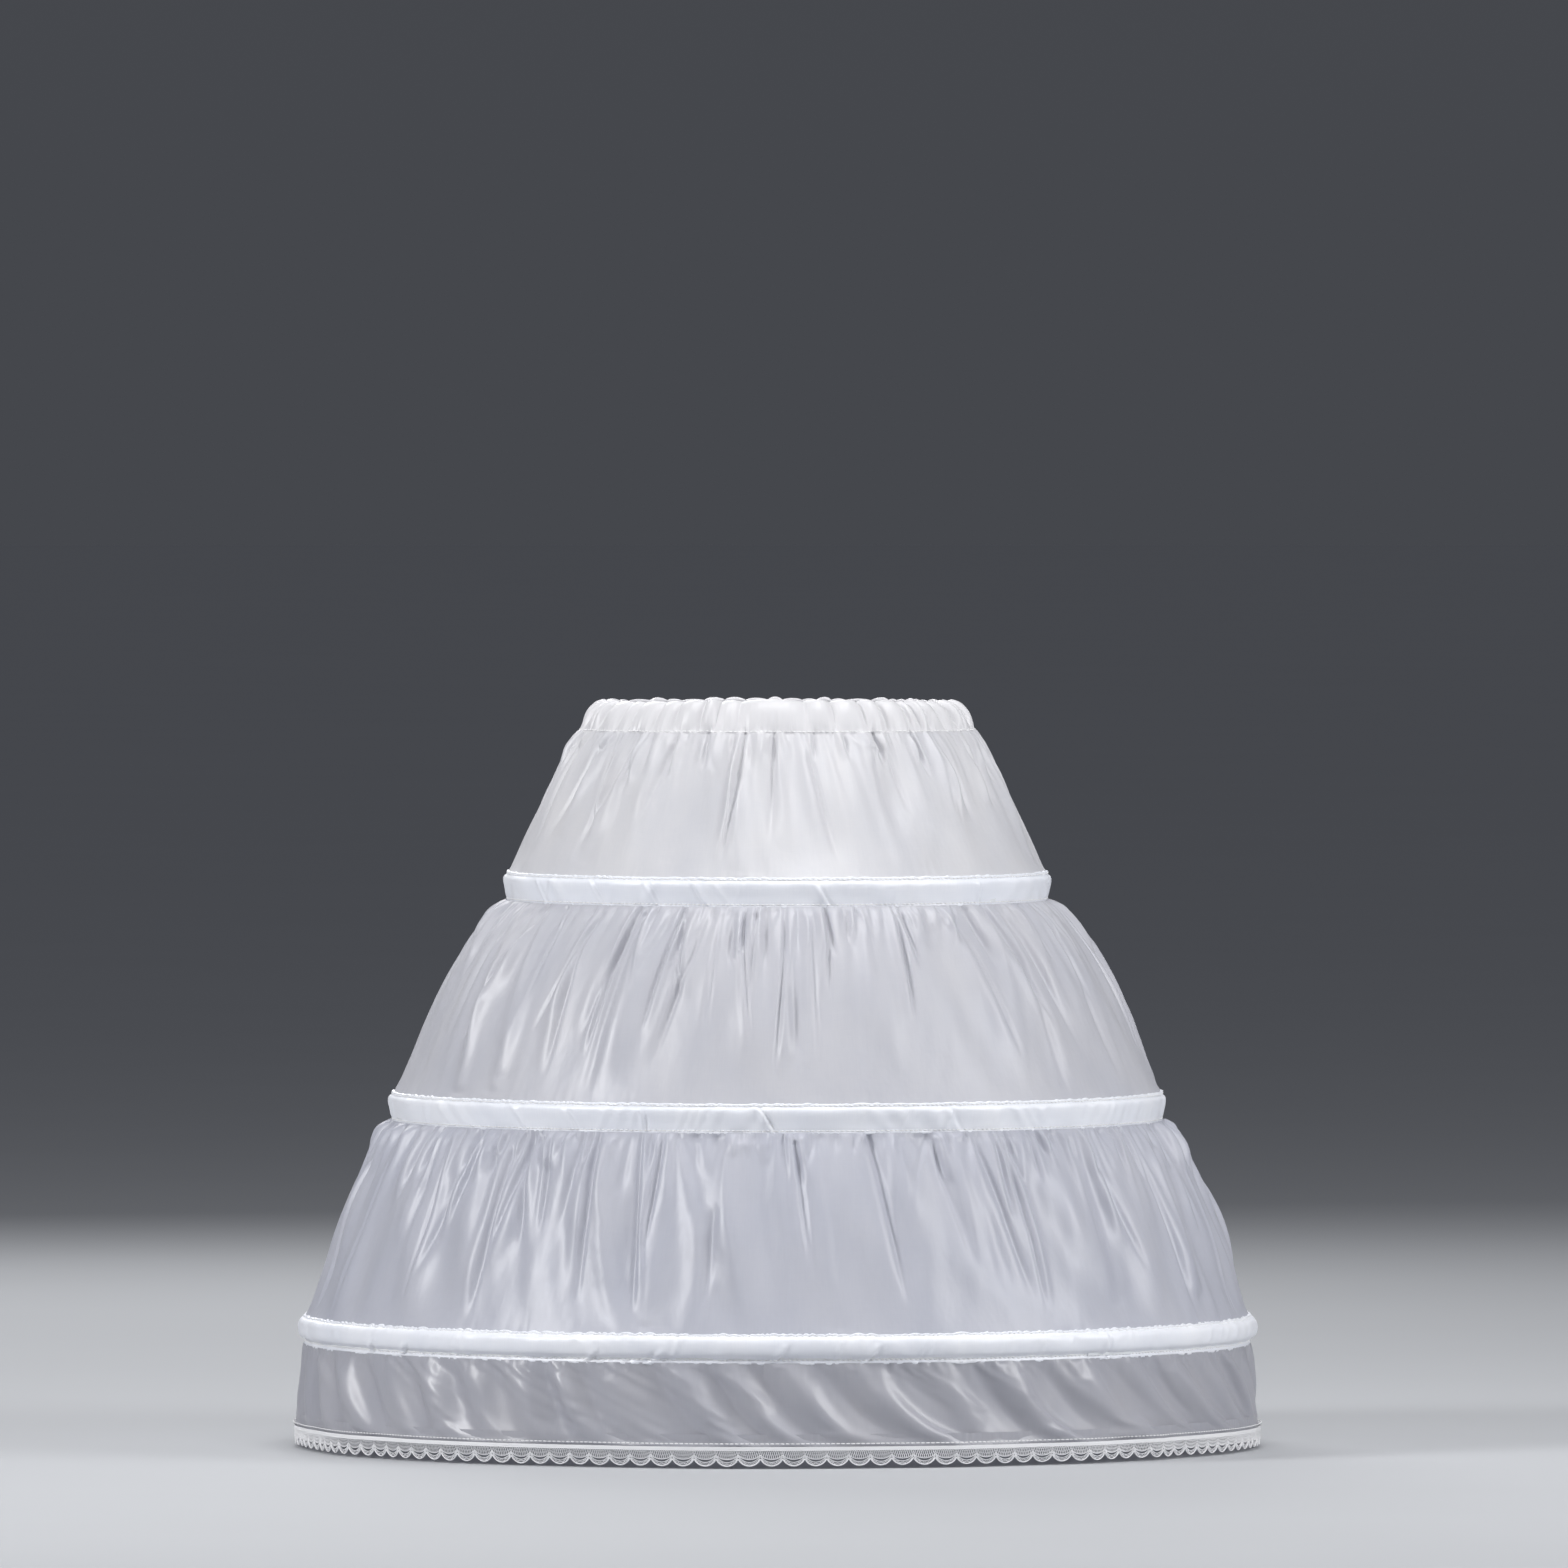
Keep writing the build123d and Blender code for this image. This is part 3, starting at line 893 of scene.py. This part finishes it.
class PETTICOAT_OT_hoop_casings(bpy.types.Operator):
    """Makes the three casings, each a strip folded round its hoop and sewn above and below it"""

    bl_idname = "petticoat.hoop_casings"
    bl_label = "Hoop casings"

    def execute(self, context):
        shades = context.scene.petticoat_colours
        material = taffeta("casing taffeta", shades.casing_taffeta, 0.10, 0.40, 0.0005)
        for name, seed, columns, pucker, shape, creases in (
            ("upper", 31, 900, 0.0008, CASING_SECTION, (
                (-61.0, 4.0, 0.3, 1.0, 0.7, 0.0007), (-43.0, 4.5, 0.2, 1.0, 0.6, 0.0009),
                (-29.0, 4.0, 0.2, 0.9, 0.7, 0.0009), (-19.0, 5.0, 0.2, 1.0, 0.7, -0.0007),
                (8.0, 4.5, 0.3, 1.0, 0.6, 0.0008), (47.5, 0.5, 0.3, 1.0, 0.5, 0.0010))),
            ("middle", 37, 1150, 0.0009, CASING_SECTION, (
                (-3.0, 3.5, 0.2, 1.0, 0.4, 0.0014), (-20.0, 0.5, 0.3, 1.0, 0.4, 0.0009),
                (-33.0, 3.0, 0.3, 0.9, 0.7, 0.0006), (26.0, 3.0, 0.3, 1.0, 0.6, 0.0006))),
            ("lower", 41, 1350, 0.0014, ROLLED_SECTION, (
                (-57.0, -2.0, 0.5, 1.0, 0.5, 0.0012), (-50.0, -2.5, 0.5, 1.0, 0.5, 0.0012),
                (-21.5, -2.5, 0.5, 1.0, 0.4, 0.0011), (-14.0, -2.5, 0.5, 1.0, 0.5, -0.0011),
                (1.5, -2.5, 0.4, 1.0, 0.5, 0.0012), (12.5, -2.5, 0.4, 1.0, 0.5, 0.0012),
                (43.0, 0.3, 0.2, 1.0, 0.5, 0.0014))),
        ):
            rng = np.random.default_rng(seed)
            radius, level = hoop_line(name)
            girth = TURN * radius
            places = np.linspace(0, len(shape) - 1, 34)
            section = between(shape, places)
            out, up, small, slanting = (section[:, n, None] for n in range(4))
            share = np.linspace(0, 1, len(section))[:, None]
            outer = (places >= OVER_TOP)[:, None]
            angle = angles(columns)[None, :]
            puckers = ridges(rng, folds_round(girth, 0.0052), 0.45, 0.1, 1.1)
            tucks = ridges(rng, folds_round(girth, 0.0150), 0.60, 0.0, 2.0)
            wrinkles = ridges(rng, folds_round(girth, 0.0340), 0.70, 0.0, 2.0)
            slack = waver(rng, 40, 0.10)(angle)
            uneven = 0.75 + 0.5 * waver(rng, 24, 0.5)(angle)
            rise = out + small * pucker * (puckers(angle) - 0.35) * uneven
            rise = rise + outer * slanting * (
                0.0009 * (tucks(angle + 0.016 * share / radius) - 0.4)
                + 0.0012 * (wrinkles(angle - 0.030 * share / radius) - 0.3)
                + 0.0010 * slack)
            outer_share = np.clip((share - 0.30) / 0.70, 0, 1)
            rise = rise + drawn_creases(angle, outer_share, creases) * outer
            ruffle = small * (puckers(angle + 0.4) - 0.5) * pucker * 0.9
            grid = oval(radius, radius, angle, rise, level + up + ruffle * np.sign(up))
            drop = added_up(steps(section[:, :2]))
            joiner = math.radians(JOINER_BEARINGS[name] - 90)
            beside = np.abs(away(angle, joiner)) * radius < SLIT / 2
            inner = ((places[:-1] > SLIT_STARTS) & (places[:-1] < SLIT_ENDS))[:, None]
            piece = sheet_of(f"{name}_casing_cloth", grid, girth, drop, inner & beside)
            for edge, place in (("top", TOP_STITCHES), ("foot", FOOT_STITCHES)):
                SEAMS[f"{name} casing {edge}"] = grid[np.argmin(np.abs(places - place))]
            hang(piece, f"{name}_hoop_casing", "casing_taffeta", material,
                 flat=(float(drop[-1]), girth), held="folded", rests_on=[f"{name}_hoop"])
        return {"FINISHED"}


# ---------------------------------------------------------------- lace and stitches


def strand(points, thickness, sides=3):
    """A thread along flat points (along, down), as its own points (along, down, out) and faces."""
    points = np.asarray(points, float)
    heading = np.gradient(points, axis=0)
    heading /= np.linalg.norm(heading, axis=1)[:, None]
    across = np.stack([-heading[:, 1], heading[:, 0]], 1)
    turn = np.arange(sides) / sides * TURN
    ring = thickness / 2 * np.stack([np.cos(turn), np.sin(turn)], 1)
    corners = points[:, None, :] + across[:, None, :] * ring[None, :, :1]
    out = np.broadcast_to(ring[None, :, 1:], (*corners.shape[:2], 1))
    corners = np.concatenate([corners, out], -1).reshape(-1, 3)
    number = np.arange(len(points) * sides).reshape(-1, sides)
    beside = np.roll(number, -1, 1)
    faces = np.stack([number[:-1], beside[:-1], beside[1:], number[1:]], -1).reshape(-1, 4)
    return corners, faces


def ribbon(pitch, top, foot, rows):
    """A finely corded band of lace as long as a scallop, as points (along, down, out) and faces."""
    along, down = np.meshgrid((-pitch / 2, 0, pitch / 2), np.linspace(top, foot, rows))
    out = 0.0003 * (np.arange(rows) % 2)[:, None] + 0 * along
    number = np.arange(rows * 3).reshape(rows, 3)
    faces = np.stack([number[:-1, :-1], number[1:, :-1], number[1:, 1:], number[:-1, 1:]], -1)
    return np.stack([along, down, out], -1).reshape(-1, 3), faces.reshape(-1, 4)


def together(parts):
    """Several (points, faces) as one."""
    count, points, faces = 0, [], []
    for corners, sides in parts:
        points.append(corners)
        faces.append(sides + count)
        count += len(corners)
    return np.concatenate(points), np.concatenate(faces)


CUSP, LOBE = 0.0062, 0.0042  # from the hem's edge down to a cusp, and from there to a lobe's foot
HEADING_TOP, HEADING = -0.0008, 0.0022  # where the lace's heading starts, and its height
EYELET_TOP, EYELET = 0.0023, 0.0015  # from the lace's edge up to an eyelet, and its height


def scallop_of_lace(pitch):
    """One scallop of the lace, flat: a corded edge, a laddered border, a crescent eyelet, a net and
    a ribbon heading. Down is measured from the hem's edge."""

    def bow(along):
        return 1 - (2 * along / pitch) ** 2

    def lobe(along):
        return CUSP + LOBE * np.clip(bow(along), 0, 1) ** 0.8

    def line(up, count, eyelet=0.0):
        along = np.linspace(-pitch / 2, pitch / 2, count)
        return np.stack([along, lobe(along) - up - eyelet * bow(along)], 1)

    border = line(0.0021, 9)
    cord = line(0.0003, 9)
    zigzag = np.where((np.arange(9) % 2 == 0)[:, None], border, cord)
    parts = [
        strand(line(0.0, 11), 0.00095, 5), strand(line(0.0011, 7), 0.00045),
        strand(border, 0.00065), strand(zigzag, 0.00042),
        strand(line(EYELET_TOP, 7, EYELET), 0.00060),
        ribbon(pitch, HEADING_TOP, HEADING_TOP + HEADING, 4),
    ]
    for slant in (-0.0022, 0.0022):
        for start in np.linspace(-pitch / 2, pitch / 2, 12)[:-1]:
            end = start + slant
            wrapped = np.mod(end + pitch / 2, pitch) - pitch / 2
            foot = lobe(wrapped) - EYELET_TOP - EYELET * bow(wrapped)
            parts.append(strand([(start, HEADING_TOP), (end, foot)], 0.00040))
    return together(parts)


def along_ring(ring, count):
    """count evenly spaced points of a closed ring, with the direction along it at each."""
    closed = np.concatenate([ring, ring[:1]])
    far = added_up(steps(closed))
    spaced = np.arange(count) / count * far[-1]
    points = np.stack([np.interp(spaced, far, closed[:, n]) for n in range(3)], 1)
    heading = np.roll(points, -1, 0) - np.roll(points, 1, 0)
    return points, heading / np.linalg.norm(heading, axis=1)[:, None]


def smoothed(ring, times):
    """A ring with its small puckers evened out."""
    for _ in range(times):
        ring = (np.roll(ring, 1, 0) + 2 * ring + np.roll(ring, -1, 0)) / 4
    return ring


class PETTICOAT_OT_lace(bpy.types.Operator):
    """Makes the scalloped lace round the hem, one scallop copied all the way round"""

    bl_idname = "petticoat.lace"
    bl_label = "Lace edging"

    def execute(self, context):
        sizes, shades = context.scene.petticoat_sizes, context.scene.petticoat_colours
        if "hem" not in SEAMS:
            raise RuntimeError("the hem band comes before its lace")
        edge = smoothed(SEAMS["hem"], 12)
        rng = np.random.default_rng(53)
        radius = float(np.hypot(edge[:, 0], edge[:, 1]).mean())
        count = round(TURN * radius / sizes.scallop)
        corners, faces = scallop_of_lace(TURN * radius / count)
        turns = (np.arange(count)[:, None] * TURN + corners[None, :, 0] * count / radius) / count
        down, out = np.broadcast_to(corners[:, 1], turns.shape), corners[None, :, 2]
        angle = np.mod(np.arctan2(edge[:, 1], edge[:, 0]), TURN)
        order = np.argsort(angle)
        far = np.interp(turns, angle[order], np.hypot(edge[:, 0], edge[:, 1])[order], period=TURN)
        level = np.interp(turns, angle[order], edge[order, 2], period=TURN)
        sway = waver(rng, 60, 0.30)(turns)
        loose = np.clip(down / 0.011, 0, 1)
        reach = far + out + 0.0008 - 0.0010 * loose + 0.0012 * sway * loose**1.5
        drop = down * (1 + 0.05 * waver(rng, 90, 0.5)(turns))
        points = np.stack([reach * np.cos(turns), reach * np.sin(turns), level - drop], -1)
        faces = faces[None] + (np.arange(count) * len(corners))[:, None, None]
        piece = new_piece("lace_trim", points, faces.reshape(-1, 4).tolist())
        width = float(corners[:, 1].max() - corners[:, 1].min())
        hang(piece, "lace_edging", "lace", spun_thread("lace thread", shades.lace),
             flat=(width, TURN * radius), held="hung", rests_on=["hem_band_cloth"],
             area=width * TURN * radius)
        return {"FINISHED"}


STITCH_SHARE = 0.82  # how much of the way to the next stitch one is long


class PETTICOAT_OT_stitching(bpy.types.Operator):
    """Makes the rows of stitches at the waist, along the casings and round the hem"""

    bl_idname = "petticoat.stitching"
    bl_label = "Stitching"

    def execute(self, context):
        sizes, shades = context.scene.petticoat_sizes, context.scene.petticoat_colours
        bpy.ops.object.select_all(action="DESELECT")
        bpy.ops.mesh.primitive_cylinder_add(
            vertices=4, radius=0.5, depth=1.0, end_fill_type="TRIFAN", rotation=(0, math.pi / 2, 0))
        stitch = context.active_object
        bpy.ops.object.transform_apply(location=True, rotation=True, scale=True)
        bpy.ops.object.mode_set(mode="EDIT")
        bpy.ops.mesh.select_all(action="SELECT")
        bpy.ops.mesh.bisect(plane_co=(0, 0, 0), plane_no=(1, 0, 0))
        bpy.ops.transform.resize(value=(1, 1.7, 1.7))
        bpy.ops.object.mode_set(mode="OBJECT")
        shape = np.array([v.co for v in stitch.data.vertices])
        faces = [list(p.vertices) for p in stitch.data.polygons]
        bpy.data.objects.remove(stitch)
        long, thick, wide, lift = sizes.stitch * STITCH_SHARE, 0.00042, 0.00045, 0.00012
        points, sides = [], []
        for name, ring in sorted(SEAMS.items()):
            if name == "hem":
                ring = outward(smoothed(ring, 4), 0.0012) + (0, 0, 0.0026)
            spots, heading = along_ring(ring, round(steps(ring).sum() / sizes.stitch))
            out = spots * (1, 1, 0)
            out /= np.linalg.norm(out, axis=1)[:, None]
            up = np.cross(heading, out)
            placed = (
                spots[:, None] + heading[:, None] * shape[None, :, :1] * long
                + out[:, None] * (shape[None, :, 1:2] * thick + lift)
                + up[:, None] * shape[None, :, 2:] * wide)
            for spot in placed:
                start = len(points) * len(shape)
                points.append(spot)
                sides += [[start + corner for corner in face] for face in faces]
        piece = new_piece("seam_stitches", np.concatenate(points), sides)
        piece.data.materials.append(spun_thread("sewing thread", shades.thread))
        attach(piece, "root")
        return {"FINISHED"}


class PETTICOAT_OT_hoops_and_elastic(bpy.types.Operator):
    """Finishes the hoops, their joiners and the waist elastic, whose shapes stay as they are"""

    bl_idname = "petticoat.hoops_and_elastic"
    bl_label = "Hoops and elastic"

    def execute(self, context):
        shades = context.scene.petticoat_colours
        strip = drawn_plastic("hoop strip", shades.strip, 0.34, 900.0)
        sleeve = drawn_plastic("hoop joiner", shades.joiner, 0.22, 300.0)
        finishes = {"waist_elastic": ribbed_elastic("waist elastic", shades.elastic)}
        for name in HOOPS:
            finishes[f"{name}_hoop"] = strip
            finishes[f"{name}_hoop_joiner"] = sleeve
        for node, finish in finishes.items():
            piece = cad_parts[node]
            piece.data.materials.clear()
            piece.data.materials.append(finish)
            for place in piece.material_slots:
                place.material = finish
        return {"FINISHED"}


# ---------------------------------------------------------------- stage

CAMERA_ELEVATION = math.radians(1.3)
CAMERA_DISTANCE = 15.68
CAMERA_AIM = Vector((0.004, 0.0, -0.049))
CAMERA_LENS, CAMERA_FILM = 600.0, 36.0  # millimetres
LIGHTS = (  # name, place, watts and size, all aimed at the petticoat's middle
    ("key light", (-2.4, -1.4, 1.4), 60.0, 0.9),
    ("fill light", (2.5, -1.1, 1.0), 48.0, 1.4),
    ("front light", (0.3, -2.6, 1.4), 13.0, 1.6),
    ("top light", (0.2, -0.3, 2.0), 26.0, 1.2),
    ("back light", (-0.6, 2.5, 1.3), 30.0, 1.4),
)
LIGHTS_AIM = Vector((0, 0, -0.2))
HORIZON, OVERHEAD = (0.0595, 0.0631, 0.0723), (0.13, 0.135, 0.15)  # the sky's colours
FLOOR_GAP, FLOOR_RADIUS = 0.0006, 40.0


class PETTICOAT_OT_stage(bpy.types.Operator):
    """Makes the floor, the soft lights and the camera"""

    bl_idname = "petticoat.stage"
    bl_label = "Stage"

    def execute(self, context):
        shades = context.scene.petticoat_colours
        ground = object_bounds()[0].z - FLOOR_GAP
        bpy.ops.object.select_all(action="DESELECT")
        bpy.ops.mesh.primitive_circle_add(
            vertices=96, radius=FLOOR_RADIUS, fill_type="NGON", location=(0, 0, ground))
        floor = context.active_object
        floor.name = "studio_floor"
        floor.data.materials.append(studio_paper("studio paper", shades.floor))
        floor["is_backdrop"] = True
        for name, place, power, size in LIGHTS:
            bpy.ops.object.light_add(type="AREA", location=place)
            light = context.active_object
            light.name = name
            light.data.energy, light.data.size = power, size
            heading = LIGHTS_AIM - Vector(place)
            light.rotation_euler = heading.to_track_quat("-Z", "Y").to_euler()
        context.scene.world = bpy.data.worlds.new("studio")
        sky = Finish(context.scene.world)
        height = sky.parts(sky.add("TexCoord")[0])[2]
        shade = sky.tint((height * 1.6).clamped(), HORIZON, OVERHEAD)
        sky.add("OutputWorld", {}, {"Surface": sky.add("Background", {}, {"Color": shade})[0]})
        offset = Vector((0, -math.cos(CAMERA_ELEVATION), math.sin(CAMERA_ELEVATION)))
        place = CAMERA_AIM + offset * CAMERA_DISTANCE
        bpy.ops.object.camera_add(
            location=place, rotation=(-offset).to_track_quat("-Z", "Y").to_euler())
        camera = context.active_object
        camera.data.lens = CAMERA_LENS
        camera.data.sensor_width = CAMERA_FILM
        camera.data.clip_end = 200.0
        context.scene.camera = camera
        context.scene.view_settings.view_transform = "Standard"
        return {"FINISHED"}


class PETTICOAT_PT_panel(bpy.types.Panel):
    """Lists the petticoat's pieces, sizes and colours"""

    bl_idname = "PETTICOAT_PT_panel"
    bl_label = "Hoop petticoat"
    bl_space_type = "VIEW_3D"
    bl_region_type = "UI"
    bl_category = "Petticoat"

    def draw(self, context):
        for operator in OPERATORS:
            self.layout.operator(operator.bl_idname)
        for group in (context.scene.petticoat_sizes, context.scene.petticoat_colours):
            box = self.layout.box()
            for name in group.__annotations__:
                box.prop(group, name)


OPERATORS = (
    PETTICOAT_OT_top_tier, PETTICOAT_OT_gathered_tiers, PETTICOAT_OT_hem_band,
    PETTICOAT_OT_hoop_casings, PETTICOAT_OT_lace, PETTICOAT_OT_stitching,
    PETTICOAT_OT_hoops_and_elastic, PETTICOAT_OT_stage,
)
CLASSES = (PetticoatSizes, PetticoatColours, *OPERATORS, PETTICOAT_PT_panel)


def register():
    """Registers the classes, and the sizes and colours on the scene."""
    for item in CLASSES:
        bpy.utils.register_class(item)
    bpy.types.Scene.petticoat_sizes = bpy.props.PointerProperty(type=PetticoatSizes)
    bpy.types.Scene.petticoat_colours = bpy.props.PointerProperty(type=PetticoatColours)


def unregister():
    """Undoes register."""
    del bpy.types.Scene.petticoat_colours
    del bpy.types.Scene.petticoat_sizes
    for item in reversed(CLASSES):
        bpy.utils.unregister_class(item)


def main():
    """Makes the whole petticoat and its stage."""
    register()
    for operator in OPERATORS:
        group, name = operator.bl_idname.split(".")
        getattr(getattr(bpy.ops, group), name)()


if __name__ == "__main__":
    main()
